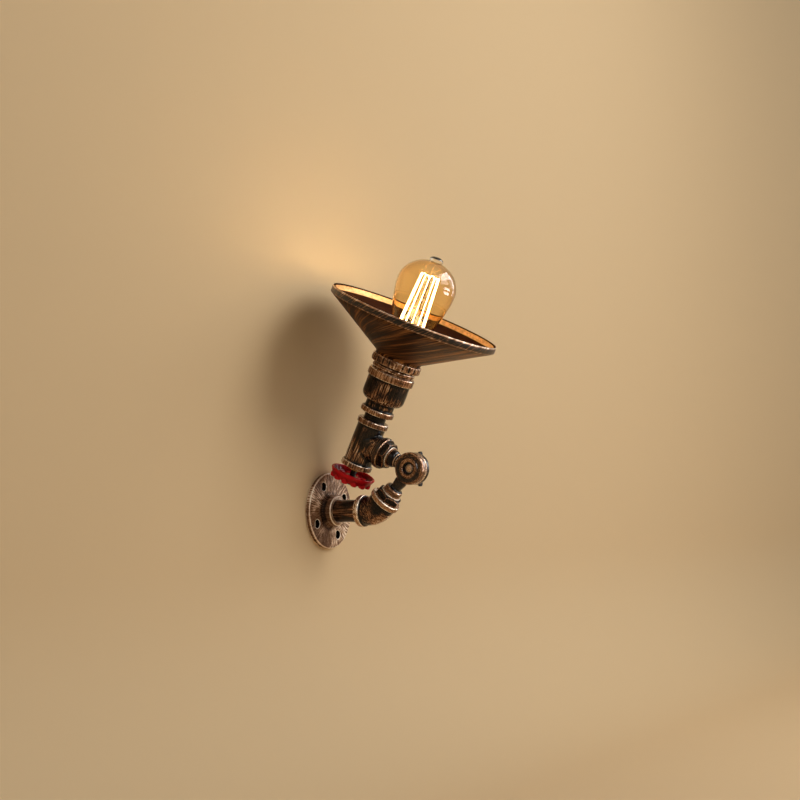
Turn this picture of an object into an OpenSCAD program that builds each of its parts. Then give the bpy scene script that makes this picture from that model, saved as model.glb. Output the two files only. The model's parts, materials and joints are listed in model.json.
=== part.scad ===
// Swing arm wall lamp made of half-inch pipe fittings.
// Frame: the wall is the plane y = 0, the lamp stands out of it along -Y, and +Z is up.
// The origin is the centre of the wall flange's back face. Sizes are in millimetres.

/* [Pipe and threads] */
// Outside diameter of the half-inch pipe
pipe_d = 21.3; // [20.5:0.1:22]
// Bore of the pipe nipples
pipe_bore = 16; // [14:0.5:17]
// Length of thread that is screwed into each mouth
thread_len = 11; // [9:0.5:12]
// Gap between a thread and its socket, on the radius
thread_gap = 0.08; // [0.05:0.01:0.12]

/* [Cast fittings] */
// Body diameter of the elbow and the tee
fitting_d = 27.4; // [26:0.2:28]
// Height of the bead round each mouth above the body
bead_rise = 1.6; // [1.2:0.1:2.4]
// Width of the bead round each mouth
bead_w = 5.4; // [4.6:0.2:6.4]
// Bore between the threaded sockets
passage_d = 17; // [15:0.5:18]
// Radius of the cast edges
cast_edge = 1.2; // [0.6:0.1:1.6]

/* [Wall flange] */
// Diameter of the flange
flange_d = 73; // [68:1:90]
// Thickness of the flange plate at its edge
flange_t = 4.8; // [4:0.2:6.4]
// Height of the boss above the wall
flange_h = 13.5; // [12.5:0.5:18]
// Diameter of the boss
boss_d = 29; // [27:0.5:32]
// Radius of the fillet round the foot of the boss
boss_fillet = 3; // [2:0.5:4]
// Diameter of the circle of screw holes
screw_circle = 52.4; // [50:0.2:58]
// Diameter of each screw hole
screw_hole = 8; // [5:0.5:9]
// Number of screw holes
screw_count = 4; // [3:1:6]
// Angle of the first screw hole from the top, clockwise from the front
screw_turn = -28; // [-45:1:45]

/* [Elbow] */
// Distance from the wall to the elbow's centre
elbow_reach = 56.2; // [54:0.2:75]
// Distance from the elbow's centre to each mouth
elbow_leg = 17.2; // [16.8:0.2:22]
// Angle by which the elbow turns the arm up
elbow_angle = 45; // [40:1:50]
// Radius of the inner side of the elbow's bend
bend_inner = 1.3; // [0.8:0.1:2.4]

/* [Swivel] */
// Diameter of the two swivel eyes
eye_d = 30.6; // [29:0.2:33]
// Thickness of each swivel eye
eye_t = 6.5; // [6:0.5:9]
// Gap between the eyes, filled by the friction washer
eye_gap = 1; // [0.6:0.1:1.6]
// Diameter of the pivot bolt
bolt_d = 6; // [5:0.5:6.5]
// Running clearance of the pivot bolt, on the radius
bolt_gap = 0.05; // [0.03:0.01:0.08]
// Diameter of the pivot bolt's head
bolt_head_d = 8; // [7.4:0.2:11.4]
// Gap round the bolt's head in its recess
recess_gap = 2; // [1:0.1:2.4]
// Depth of the recess round the bolt's head
recess_depth = 2.8; // [2.2:0.1:3.4]
// Width of the raised ring on the front eye
ring_w = 4; // [2.4:0.1:4.4]
// Diameter of the neck between a stem and its eye
neck_d = 12.2; // [10.4:0.2:12.6]
// Length of the lower stem, from its foot to the pivot
lower_stem = 31.8; // [30:0.2:36]
// Length of the upper stem, from its foot to the pivot
upper_stem = 25.4; // [25:0.2:30]
// Diameter of the lower stem's foot
lower_foot_d = 18; // [15:0.5:20]
// Diameter of the upper stem's foot
upper_foot_d = 17; // [15:0.5:19]
// Diameter of the threaded spigot of each stem
spigot_d = 10; // [9:0.5:11]
// Bore for the leads in each stem
lead_bore = 6; // [5:0.5:6.5]
// Diameter across the tips of the wing nut
wing_span = 33; // [30:1:38]
// Height of the wing nut's wings above its washer
wing_h = 9.8; // [8:0.2:12]

/* [Bushes and washers] */
// Height of the hexagon's flats above the bush's thread
hex_rise = 1.05; // [0.7:0.05:1.8]
// Thickness of the bushes' hexagon
hex_t = 5.8; // [4.4:0.2:7]
// Thickness of the washer under each stem
stem_washer_t = 1.3; // [1:0.1:2]
// Diameter of the washer under each stem
stem_washer_d = 20; // [19:0.5:21]
// Thickness of the washer under the wing nut
wing_washer_t = 1.2; // [0.8:0.1:2]

/* [Tee] */
// Angle by which the lamp leans away from the wall
lean = 25; // [20:0.5:30]
// Distance from the tee's centre to its run mouths
tee_leg = 24.5; // [24:0.5:28]
// Distance from the tee's centre to its branch mouth
branch_leg = 25.4; // [24.4:0.2:30]

/* [Switch and handwheel] */
// Diameter of the switch spindle
spindle_d = 6; // [5:0.5:6.5]
// Air round the rotary switch's casing inside the tee, on the radius
switch_gap = 0.8; // [0.5:0.1:2]
// Height of the rotary switch's casing
switch_h = 11; // [9:0.5:12]
// Diameter of the handwheel over its rim
wheel_d = 44; // [40:1:50]
// Gap between the tee's mouth and the rim of the handwheel
wheel_drop = 5.4; // [4.4:0.2:7]
// Depth of the handwheel's dished rim
wheel_depth = 8; // [6:0.2:9]
// Angle by which the rim tapers in
wheel_taper = 22; // [15:1:28]
// Thickness of the rim
wheel_wall = 2.4; // [2:0.1:3]
// Number of finger lobes round the rim
lobe_count = 12; // [8:1:14]
// Radius of each finger lobe
lobe_r = 3.3; // [2.6:0.1:3.6]
// Distance by which the lobes hang below the rim
lobe_drop = 1.8; // [1.2:0.1:2.2]
// Number of spokes
spoke_count = 5; // [3:1:6]
// Width of each spoke
spoke_w = 6; // [4:0.5:7]

/* [Reducing socket] */
// Bare nipple between the tee and the reducing socket
nipple_show = 6.4; // [4:0.2:9]
// Height of the reducing socket
reducer_h = 42.6; // [42:0.2:50]
// Wall of the wide end round the lampholder
wide_wall = 3.5; // [3:0.1:4.5]
// Height of the bead on the wide end above the body
wide_rise = 1.9; // [1.5:0.1:3]
// Width of the bead on the wide end
wide_bead_w = 7.6; // [6:0.2:9]
// Depth of the wide end's bore
wide_depth = 22; // [20:0.5:24]
// Body diameter of the narrow end
narrow_d = 27.8; // [26.8:0.2:29]
// Height of the bead on the narrow end above the body
narrow_rise = 2.5; // [2:0.1:3.2]

/* [Lampholder] */
// Diameter of the threaded top of the lampholder
holder_d = 38; // [36.5:0.5:39]
// Height of the threaded top above the reducing socket
holder_top = 20.5; // [20:0.5:23]
// Ledge by which the lampholder sits on the mouth of the reducing socket
holder_step = 1.7; // [1.4:0.1:2.2]
// Gap between the screw shell and the bulb's cap, on the radius
shell_gap = 0.4; // [0.3:0.1:0.7]
// Wall of the collar that seats on the reducing socket
collar_wall = 2; // [1.6:0.1:3]
// Height of the collar
collar_h = 6.2; // [5:0.2:8]
// Wall of the knurled ring that clamps the shade
clamp_wall = 5.2; // [4.4:0.1:6.4]
// Height of the knurled ring under the shade
clamp_h = 7.4; // [6:0.2:8]
// Height of the ring inside the shade
inner_ring_h = 4.6; // [4:0.2:5.2]

/* [Shade] */
// Diameter of the shade over its rim
shade_d = 165; // [150:1:200]
// Height of the shade
shade_h = 45; // [38:0.5:60]
// Thickness of the shade's sheet
shade_t = 1.2; // [0.8:0.1:2]
// Width of the shade's foot between the two rings that clamp it
shade_foot = 3.6; // [3.2:0.1:4]
// Height of the shade's neck
shade_neck_h = 0.8; // [0.4:0.2:3]
// Height of the hemmed band round the rim
band_h = 6.8; // [5:0.2:9]
// Thickness of the hemmed band
band_t = 2.4; // [2:0.1:3.5]

/* [Bulb] */
// Largest diameter of the glass
bulb_d = 57.5; // [50:0.5:64]
// Overall length of the bulb
bulb_len = 135; // [130:0.5:145]
// Diameter of the screw cap
cap_d = 26; // [25.6:0.1:26.2]
// Thickness of the glass
glass_t = 0.9; // [0.7:0.1:1.2]
// Gap between the glass and the cap, on the radius
neck_gap = 0.25; // [0.15:0.05:0.8]
// Number of upright strands in the filament cage
strand_count = 12; // [6:2:16]
// Diameter of the filament cage at its top
cage_top_d = 18; // [16:1:24]
// Diameter of the filament cage at its foot
cage_foot_d = 26; // [18:1:28]
// Length of the filament cage
cage_len = 60; // [50:1:64]
// Thickness of the filament strand
strand_d = 0.7; // [0.5:0.1:1]

/* [Hidden] */
$fn = 64;

// Flat faces of one body that meet keep this much air between them
seat = 0.02;
// Faces that pass each other keep at least this much air
clear = 0.3;

// Threads and sockets
pipe_r = pipe_d / 2;
socket_r = pipe_r + thread_gap;
socket_run = 1;                                  // socket beyond the end of the thread
socket_depth = thread_len + socket_run;

// Cast fittings
bead_d = fitting_d + 2 * bead_rise;
hex_af = pipe_d + 2 * hex_rise;
elbow_bend = fitting_d / 2 + bend_inner;

// Elbow and the way to the pivot
elbow_tangent = elbow_bend * tan(elbow_angle / 2);
bend_lap = 0.4;                                  // length by which the legs run into the bend
bend_step = 0.12;                                // the bend is this much slimmer than its legs
elbow_centre = [0, -elbow_reach, 0];
lower_foot = elbow_leg + hex_t + stem_washer_t;
pivot_from_elbow = lower_foot + lower_stem;
pivot = elbow_centre + pivot_from_elbow * [0, -cos(elbow_angle), sin(elbow_angle)];

// Tee: its branch points at the pivot
upper_foot = branch_leg + hex_t + stem_washer_t;
pivot_from_tee = upper_foot + upper_stem;
tee_centre = pivot + pivot_from_tee * [0, cos(lean), sin(lean)];

// Swivel
eye_r = eye_d / 2;
eye_edge = 1.8;                                  // rounding of the eyes' outer edges
ring_rise = 1.3;                                 // height of the raised ring on the front eye
recess_d = bolt_head_d + 2 * recess_gap;
ring_d = recess_d + 2 * ring_w;
bolt_r = bolt_d / 2;
spigot_len = 8;
stem_root = eye_r - 3.5;                         // a neck reaches this close to the pivot's axis
eye_outer = eye_gap / 2 + eye_t;
wing_foot = eye_outer + seat + wing_washer_t;
wing_washer_d = 15;
wing_hub_d = 11;
wing_hub_h = 5.6;
wing_blade = 2.6;
wing_tip_r = 3;

// Lampholder: the cap sets the shell, and the threaded top sets the rings on it
shell_t = 0.5;
shell_fit = 0.1;                                 // gap between the shell and the holder, on the radius
shell_bore = cap_d + 2 * shell_gap;
shell_hole_d = shell_bore + 2 * shell_t + 2 * shell_fit;
holder_r = holder_d / 2;
collar_d = holder_d + 2 * collar_wall;
clamp_d = holder_d + 2 * clamp_wall;
shade_neck_d = holder_d + 2 * shade_foot;

// Places along the lamp's axis, measured from the tee's centre
plug_len = 9;
plug_top = -tee_leg + plug_len;
switch_base = plug_top + seat;
switch_d = passage_d - 2 * switch_gap;
switch_bush_d = 9.4;
switch_nut_af = 13;
switch_nut_t = 2.2;
switch_bush_end = -tee_leg - switch_nut_t - 0.8;
wheel_rim = -tee_leg - wheel_drop;
wheel_floor = wheel_rim - wheel_depth;
spoke_t = 2.6;
spoke_lift = 0.4;                                // the spokes lie this far above the rim's foot
hub_d = 13;
hub_end = wheel_floor - 2.4;
wheel_screw_d = 4;
wheel_screw_len = 8;
lobe_h = 5.2;
lobe_round = 1.5;
wide_bore = holder_d - 2 * holder_step;
wide_d = wide_bore + 2 * wide_wall;
wide_bead_d = wide_d + 2 * wide_rise;
narrow_bead_d = narrow_d + 2 * narrow_rise;
reducer_base = tee_leg + nipple_show;
holder_seat = reducer_base + reducer_h;
wide_floor = holder_seat - wide_depth;
collar_base = holder_seat + seat;
clamp_base = collar_base + collar_h + seat;
shade_base = clamp_base + clamp_h + seat;
ring_base = shade_base + shade_t + seat;
rim_top = shade_base + shade_h;

// Lampholder and bulb
holder_gap = 0.2;                                // round the lampholder, on the radius
barrel_r = wide_bore / 2 - holder_gap;
holder_base = wide_floor + clear;
holder_floor_t = 3;
contact_t = 0.8;
contact_d = 12;
shell_base = holder_base + holder_floor_t;
shell_h = 26;
bulb_base = shell_base + contact_t + seat;
cap_contact_d = 9.5;
cap_contact_h = 1.6;
insulator_h = 5.5;
insulator_step = 1.5;                            // the cap is this much wider all round
insulator_top_d = cap_d - 2 * insulator_step;
cap_base = bulb_base + cap_contact_h + insulator_h;
cap_h = 19.5;
cap_t = 0.45;
cap_top = cap_base + cap_h;
cap_pitch = 3.6;
cap_lip = 2.8;                                   // plain lip of the cap round the glass
bulb_tip = bulb_base + bulb_len;
bulb_r = bulb_d / 2;
glass_neck_r = cap_d / 2 - cap_t - neck_gap;
pip_h = 4.4;                                     // the pip left where the glass was sealed
pip_r = 6.6;
pip_tuck = 30;                                   // angle by which the pip draws in to its foot
dome_h = 0.87 * bulb_r;
dome_base = bulb_tip - pip_h - dome_h;           // height of the largest diameter
dome_end = acos(pip_r * cos(pip_tuck) / bulb_r); // angle at which the dome meets the pip
neck_top = cap_top + 6;

// Filament cage
cage_rise = 8.4;                                 // top of the cage above the largest diameter
cage_top = dome_base + cage_rise;
cage_base = cage_top - cage_len;
cage_r = cage_top_d / 2;
cage_foot_r = cage_foot_d / 2;
strand_turn = 360 / strand_count;
rod_d = 3;
hook_d = 0.6;
stem_foot_d = 13;
lead_drop = 5.6;                                 // lead-in wires leave the mount this far below the cage

lead_d = 2.4;
lead_x = 3.4;
lead_turn_r = 4.5;

// Points on an arc round (x, y) from angle a to angle b
function arc(x, y, r, a, b, n = 6) = [
    for (i = [0:n])
        let (t = a + (b - a) * i / n)
            [x + r * cos(t), y + r * sin(t)]
];

// Profile of one leg of a cast fitting: plain body from z0, then a rounded bead that ends at z = leg
function leg_profile(leg, z0, body_r, mouth_r, w, e) = let (
    f = min(e, (mouth_r - body_r) / 2)           // rounding of the bead's foot and its inner edge
) concat(
    [[body_r, z0], [body_r, leg - w - f]],
    arc(body_r + f, leg - w - f, f, 180, 90, 4),
    arc(mouth_r - f, leg - w + f, f, -90, 0, 4),
    arc(mouth_r - e, leg - e, e, 0, 90, 4)
);

// Mirror of a profile through z = 0, in the other order
function flipped(p) = [for (i = [len(p) - 1:-1:0]) [p[i][0], -p[i][1]]];

module revolve(points) rotate_extrude() polygon(points);

module tube(d, bore, h) difference() {
    cylinder(d = d, h = h);
    translate([0, 0, -1]) cylinder(d = bore, h = h + 2);
}

// Local +Z becomes the way out of the wall
module out_of_wall() rotate([90, 0, 0]) children();
// Local +Z becomes the way from the elbow's centre to the pivot
module up_from_elbow() translate(elbow_centre) rotate([90 - elbow_angle, 0, 0]) children();
// Local +Z becomes the lamp's axis, with the tee's centre at the origin
module along_lamp() translate(tee_centre) rotate([lean, 0, 0]) children();
// Local +Z becomes the way from the tee's centre to the pivot
module along_branch() translate(tee_centre) rotate([90 + lean, 0, 0]) children();
// Local +Z becomes the pivot's axis, away from the middle plane, to the front or to the rear
module to_front() translate(pivot) rotate([0, -90, 0]) children();
module to_rear() translate(pivot) rotate([0, 90, 0]) children();

iron = [0.26, 0.19, 0.14];
bronze = [0.42, 0.27, 0.16];
brass = [0.78, 0.6, 0.28];
steel = [0.6, 0.6, 0.6];
red = [0.7, 0.05, 0.06];

// The cast flange that screws to the wall
module wall_flange() color(iron) out_of_wall() difference() {
    r = flange_d / 2;
    boss_r = boss_d / 2;
    e = cast_edge;
    revolve(concat(
        [[socket_r, 0], [r - e / 2, 0], [r, e / 2]],
        arc(r - e, flange_t - e, e, 0, 90, 4),
        arc(boss_r + boss_fillet, flange_t + boss_fillet, boss_fillet, 270, 180),
        arc(boss_r - e, flange_h - e, e, 0, 90, 4),
        [[socket_r, flange_h]]
    ));
    for (i = [0:screw_count - 1])
        rotate([0, 0, -screw_turn - 360 / screw_count * i])
            translate([0, screw_circle / 2, -1]) cylinder(d = screw_hole, h = flange_t + 2);
}

// The pipe between the flange and the elbow
module wall_nipple() color(iron) out_of_wall()
    translate([0, 0, flange_h - thread_len])
        tube(pipe_d, pipe_bore, elbow_reach - elbow_leg - flange_h + 2 * thread_len);

// One bent tube of the elbow, without its mouths
module elbow_way(r) {
    translate(elbow_centre + [0, elbow_tangent, elbow_bend])
        rotate([0, 90, 180])
            rotate_extrude(angle = elbow_angle) translate([elbow_bend, 0]) circle(r);
}

// A leg of the elbow, from the end of the bend to its mouth
module elbow_leg_solid() revolve(concat(
    [[0, elbow_tangent - bend_lap]],
    leg_profile(elbow_leg, elbow_tangent - bend_lap, fitting_d / 2, bead_d / 2, bead_w, cast_edge),
    [[0, elbow_leg]]
));

module elbow_leg_bore() translate([0, 0, elbow_leg - socket_depth])
    cylinder(r = socket_r, h = socket_depth + 1);

module towards_wall() translate(elbow_centre) rotate([-90, 0, 0]) children();

// The 45 degree elbow
module elbow() color(iron) difference() {
    union() {
        elbow_way(fitting_d / 2 - bend_step);
        towards_wall() elbow_leg_solid();
        up_from_elbow() elbow_leg_solid();
    }
    elbow_way(passage_d / 2);
    towards_wall() elbow_leg_bore();
    up_from_elbow() elbow_leg_bore();
}

// A bush that screws into a mouth at z = 0, with a chamfered hexagon outside
module hex_bush(turn) difference() {
    union() {
        translate([0, 0, -thread_len]) cylinder(d = pipe_d, h = thread_len + seat);
        translate([0, 0, seat]) rotate([0, 0, turn]) intersection() {
            cylinder(d = hex_af / cos(30), h = hex_t - seat, $fn = 6);
            revolve([
                [0, 0], [hex_af / 2, 0], [hex_af / 2 + 2, 1.2],
                [hex_af / 2 + 2, hex_t - seat - 1.2], [hex_af / 2, hex_t - seat], [0, hex_t - seat]
            ]);
        }
    }
    translate([0, 0, -thread_len - 1]) cylinder(d = spigot_d + 2 * thread_gap, h = thread_len + hex_t + 2);
}

module lower_bush() color(iron) up_from_elbow() translate([0, 0, elbow_leg]) hex_bush(22);
module upper_bush() color(iron) along_branch() translate([0, 0, branch_leg]) hex_bush(0);

module stem_washer() translate([0, 0, seat])
    tube(stem_washer_d, spigot_d + 2 * thread_gap, stem_washer_t - 2 * seat);

module lower_stem_washer() color(bronze) up_from_elbow() translate([0, 0, elbow_leg + hex_t]) stem_washer();
module upper_stem_washer() color(bronze) along_branch() translate([0, 0, branch_leg + hex_t]) stem_washer();

// The front eye of the swivel, its joint face at z = 0.
// Its outer face has a raised ring round a recess for the bolt's head.
module front_eye() {
    ring_mid = (ring_d + recess_d) / 4;
    ring_half = (ring_d - recess_d) / 4;
    revolve(concat(
        [[bolt_r + bolt_gap, 0], [eye_r - 0.5, 0], [eye_r, 0.5]],
        arc(eye_r - eye_edge, eye_t - eye_edge, eye_edge, 0, 90),
        [for (i = [0:8]) [ring_mid + ring_half * cos(i * 22.5), eye_t + ring_rise * sin(i * 22.5)]],
        [[recess_d / 2, eye_t - recess_depth], [bolt_r + bolt_gap, eye_t - recess_depth]]
    ));
}

module rear_eye() revolve(concat(
    [[bolt_r + bolt_gap, 0], [eye_r - 0.5, 0], [eye_r, 0.5]],
    arc(eye_r - eye_edge, eye_t - eye_edge, eye_edge, 0, 90),
    [[bolt_r + bolt_gap, eye_t]]
));

// Room for the other eye, on the far side of the joint face
module other_eye() translate([0, 0, -eye_gap / 2 - eye_t - 6])
    cylinder(r = eye_r + clear + 0.2, h = eye_t + eye_gap + 6);

// The swivel half on the elbow: spigot, foot, waisted neck, then the front eye
module lower_swivel() color(iron) {
    foot_r = lower_foot_d / 2;
    neck_r = neck_d / 2;
    neck_end = lower_stem - stem_root;
    waist = neck_r - 0.9;
    difference() {
        union() {
            to_front() translate([0, 0, eye_gap / 2]) front_eye();
            difference() {
                up_from_elbow() translate([0, 0, lower_foot]) revolve(concat(
                    [[0, -spigot_len], [spigot_d / 2, -spigot_len], [spigot_d / 2, 0]],
                    arc(foot_r - 0.8, 0.8, 0.8, -90, 0, 4),
                    arc(foot_r - 1.6, 4.4, 1.6, 0, 90, 4),
                    [[waist + 0.6, 6.2], [waist, 7.6], [neck_r, neck_end - 6]],
                    [[neck_r, neck_end], [0, neck_end]]
                ));
                to_front() translate([0, 0, eye_gap / 2]) other_eye();
            }
        }
        up_from_elbow() translate([0, 0, lower_foot - spigot_len - 1])
            cylinder(d = lead_bore, h = spigot_len + 7);
    }
}

// The swivel half on the tee: spigot, domed foot, a thin ring, then the rear eye
module upper_swivel() color(iron) {
    foot_r = upper_foot_d / 2;
    neck_r = neck_d / 2;
    neck_end = upper_stem - stem_root;
    dome = 6.4;                                  // height over which the foot narrows to the neck
    difference() {
        union() {
            to_rear() translate([0, 0, eye_gap / 2]) rear_eye();
            difference() {
                along_branch() translate([0, 0, upper_foot]) revolve(concat(
                    [[0, -spigot_len], [spigot_d / 2, -spigot_len], [spigot_d / 2, 0]],
                    [[foot_r - 0.6, 0], [foot_r, 0.6]],
                    [for (i = [0:8]) let (t = i * 90 / 8)
                        [neck_r + (foot_r - neck_r) * cos(t), 1.6 + (dome - 1.6) * sin(t)]],
                    [[neck_r + 0.9, dome + 0.3], [neck_r + 0.9, dome + 1.5], [neck_r, dome + 1.8],
                     [neck_r, neck_end], [0, neck_end]]
                ));
                to_rear() translate([0, 0, eye_gap / 2]) other_eye();
            }
        }
        along_branch() translate([0, 0, upper_foot - spigot_len - 1])
            cylinder(d = lead_bore, h = spigot_len + 7);
    }
}

// The pivot bolt: a low domed head in the front eye's recess, and a shank through to the wing nut
module pivot_bolt() color(bronze) {
    head_foot = eye_outer - recess_depth + seat;
    head_h = recess_depth - 0.2;
    to_front() translate([0, 0, head_foot]) revolve(concat(
        [[0, 0], [bolt_head_d / 2, 0], [bolt_head_d / 2, 0.8]],
        [for (i = [0:8]) [bolt_head_d / 2 * cos(i * 90 / 8), 0.8 + (head_h - 0.8) * sin(i * 90 / 8)]]
    ));
    to_front() translate([0, 0, -wing_foot - wing_hub_h - 1.5])
        cylinder(r = bolt_r, h = wing_foot + wing_hub_h + 1.5 + head_foot + 0.5);
}

// The fibre washer between the eyes
module friction_washer() color([0.2, 0.16, 0.13]) to_rear()
    translate([0, 0, -eye_gap / 2 + seat])
        tube(eye_d - 5, bolt_d + 2 * bolt_gap, eye_gap - 2 * seat - 0.06);

module wing_washer() color(steel) to_rear() translate([0, 0, eye_outer + seat])
    tube(wing_washer_d, bolt_d + 2 * bolt_gap, wing_washer_t - seat);

// The wing nut that clamps the swivel: a tapered hub with two flared wings
module wing_nut() color(bronze) to_rear() translate([0, 0, wing_foot]) difference() {
    hub_r = wing_hub_d / 2;
    tip = [wing_span / 2 - wing_tip_r, wing_h - wing_tip_r];
    union() {
        revolve([[0, 0.05], [hub_r, 0.05], [hub_r, 1.2], [hub_r - 1.2, wing_hub_h], [0, wing_hub_h]]);
        for (side = [0, 180])
            rotate([0, 0, side]) rotate([90, 0, 0])
                translate([0, 0, -wing_blade / 2]) linear_extrude(wing_blade) {
                    polygon([
                        [2, 0.6], [hub_r, 0.6],
                        tip + wing_tip_r * [cos(-52), sin(-52)], tip + wing_tip_r * [cos(128), sin(128)],
                        [hub_r - 1, wing_hub_h - 0.4], [2, wing_hub_h - 0.4]
                    ]);
                    translate(tip) circle(wing_tip_r);
                }
    }
    translate([0, 0, -1]) cylinder(r = bolt_r + bolt_gap, h = wing_hub_h + 2);
}

// The tee: run along the lamp's axis, branch towards the pivot
module tee() color(iron) difference() {
    run = leg_profile(tee_leg, 0, fitting_d / 2, bead_d / 2, bead_w, cast_edge);
    union() {
        along_lamp() revolve(concat([[0, -tee_leg]], flipped(run), run, [[0, tee_leg]]));
        along_branch() revolve(concat(
            [[0, 0]],
            leg_profile(branch_leg, 0, fitting_d / 2, bead_d / 2, bead_w, cast_edge),
            [[0, branch_leg]]
        ));
    }
    along_lamp() {
        translate([0, 0, -tee_leg]) cylinder(d = passage_d, h = 2 * tee_leg);
        for (end = [-tee_leg - 1, tee_leg - socket_depth])
            translate([0, 0, end]) cylinder(r = socket_r, h = socket_depth + 1);
    }
    along_branch() {
        cylinder(d = passage_d, h = branch_leg);
        translate([0, 0, branch_leg - socket_depth]) cylinder(r = socket_r, h = socket_depth + 1);
    }
}

// The plug in the tee's lower mouth, which carries the switch
module end_plug() color(iron) along_lamp() translate([0, 0, -tee_leg])
    tube(pipe_d, switch_bush_d + 0.2, plug_len);

// The rotary switch: casing above the plug
module switch_casing() color([0.1, 0.1, 0.1]) along_lamp() translate([0, 0, switch_base]) difference() {
    cylinder(d = switch_d, h = switch_h);
    translate([0, 0, -1]) cylinder(d = spindle_d + 2 * bolt_gap, h = 5);
}

// Its threaded bush through the plug
module switch_bush() color(brass) along_lamp() translate([0, 0, switch_bush_end])
    tube(switch_bush_d, spindle_d + 2 * bolt_gap, switch_base - seat - switch_bush_end);

// The nut that holds the bush in the plug
module switch_nut() color(brass) along_lamp() translate([0, 0, -tee_leg - seat - switch_nut_t]) difference() {
    cylinder(d = switch_nut_af / cos(30), h = switch_nut_t, $fn = 6);
    translate([0, 0, -1]) cylinder(d = switch_bush_d + 0.1, h = switch_nut_t + 2);
}

// The spindle that the handwheel turns
module switch_spindle() color(steel) along_lamp() difference() {
    translate([0, 0, hub_end + 0.3]) cylinder(d = spindle_d, h = switch_base + 3.6 - hub_end - 0.3);
    translate([0, 0, hub_end - 1]) cylinder(d = wheel_screw_d + 0.1, h = wheel_screw_len + 1.5);
}

// A finger lobe: a short peg, rounded at both ends
module finger_lobe() revolve(concat(
    [[0, 0]],
    arc(lobe_r - lobe_round, lobe_round, lobe_round, -90, 0, 4),
    arc(lobe_r - lobe_round, lobe_h - lobe_round, lobe_round, 0, 90, 4),
    [[0, lobe_h]]
));

// The dished handwheel: tapered rim with finger lobes, spokes and a hub
module handwheel() color(red) along_lamp() {
    top_r = wheel_d / 2;
    foot_r = top_r - wheel_depth * tan(wheel_taper);
    e = wheel_wall / 2;
    lobe_at = foot_r - lobe_r * 0.42;
    difference() {
        union() {
            revolve(concat(
                [[foot_r - wheel_wall, wheel_floor], [foot_r, wheel_floor]],
                arc(top_r - e, wheel_rim - e, e, 0, 180, 8),
                [[foot_r - wheel_wall, wheel_floor + 0.6]]
            ));
            for (i = [0:lobe_count - 1])
                rotate([0, 0, (i + 0.5) * 360 / lobe_count])
                    translate([lobe_at, 0, wheel_floor - lobe_drop]) finger_lobe();
            for (i = [0:spoke_count - 1])
                rotate([0, 0, i * 360 / spoke_count])
                    translate([0, -spoke_w / 2, wheel_floor + spoke_lift])
                        cube([foot_r - wheel_wall / 2, spoke_w, spoke_t]);
            translate([0, 0, hub_end]) cylinder(d = hub_d, h = wheel_floor + spoke_t + 2 - hub_end);
        }
        translate([0, 0, hub_end - 1]) cylinder(d = spindle_d + 0.1, h = wheel_depth + 8);
    }
}

module wheel_screw() color(steel) along_lamp() translate([0, 0, hub_end - seat]) {
    head_r = hub_d / 2 - 2;
    head_h = 2.4;
    revolve(concat(
        [[0, 0], [head_r, 0]],
        [for (i = [0:6]) [head_r * cos(i * 15), -0.7 - (head_h - 0.7) * sin(i * 15)]]
    ));
    cylinder(d = wheel_screw_d, h = wheel_screw_len);
}

// The close nipple between the tee and the reducing socket
module upper_nipple() color(iron) along_lamp() translate([0, 0, tee_leg - thread_len])
    tube(pipe_d, pipe_bore, nipple_show + 2 * thread_len);

// The bell-shaped reducing socket
module reducing_socket() color(iron) along_lamp() translate([0, 0, reducer_base]) difference() {
    e = cast_edge;
    narrow_r = narrow_d / 2;
    wide_r = wide_d / 2;
    shoulder = 12.2;                             // height at which the bell starts
    bell = 7;                                    // height over which it opens out like a bowl
    revolve(concat(
        [[0, 0]],
        flipped(leg_profile(0, -shoulder, narrow_r, narrow_bead_d / 2, bead_w, e)),
        [for (i = [1:8]) let (t = i * 90 / 8)
            [narrow_r + (wide_r - narrow_r) * sin(t), shoulder + bell * (1 - cos(t))]],
        leg_profile(reducer_h, shoulder + bell + 1, wide_r, wide_bead_d / 2, wide_bead_w, e),
        [[0, reducer_h]]
    ));
    translate([0, 0, -1]) cylinder(r = socket_r, h = socket_depth + 1);
    cylinder(d = passage_d, h = reducer_h);
    translate([0, 0, reducer_h - wide_depth]) cylinder(d = wide_bore, h = wide_depth + 1);
}

// A quarter turn of lead round local (0, 0), from angle a, in the plane of the arm
module lead_bend(a) rotate([90, 0, 90]) rotate([0, 0, a])
    rotate_extrude(angle = 90) translate([lead_turn_r, 0]) circle(d = lead_d);

// The leads inside the arm: lampholder to switch, lampholder to branch, switch to branch
module lamp_leads() color([0.15, 0.15, 0.15]) along_lamp() {
    switch_top = switch_base + switch_h + seat;
    level = max(0, switch_top + lead_turn_r + 0.2);      // height of the leads in the branch
    into_branch = upper_foot - spigot_len - seat - lead_turn_r;
    x = lead_d * 0.7;
    translate([lead_x, lead_x, switch_top]) cylinder(d = lead_d, h = holder_base - switch_top - seat);
    translate([x, 0, switch_top]) cylinder(d = lead_d, h = level - lead_turn_r - switch_top);
    translate([x, -lead_turn_r, level - lead_turn_r]) lead_bend(0);
    translate([-x, 0, level + lead_turn_r])
        cylinder(d = lead_d, h = holder_base - seat - level - lead_turn_r);
    translate([-x, -lead_turn_r, level + lead_turn_r]) lead_bend(-90);
    for (side = [-x, x])
        translate([side, -lead_turn_r, level]) rotate([90, 0, 0]) cylinder(d = lead_d, h = into_branch);
}

// The lampholder's ceramic body: a barrel inside the socket and a threaded top that carries the rings
module lampholder_body() color([0.9, 0.88, 0.84]) along_lamp() difference() {
    union() {
        translate([0, 0, holder_base]) cylinder(r = barrel_r, h = holder_seat + 1 - holder_base);
        translate([0, 0, collar_base]) cylinder(r = holder_r, h = holder_top);
    }
    translate([0, 0, shell_base]) cylinder(d = shell_hole_d, h = holder_top + wide_depth);
}

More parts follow.
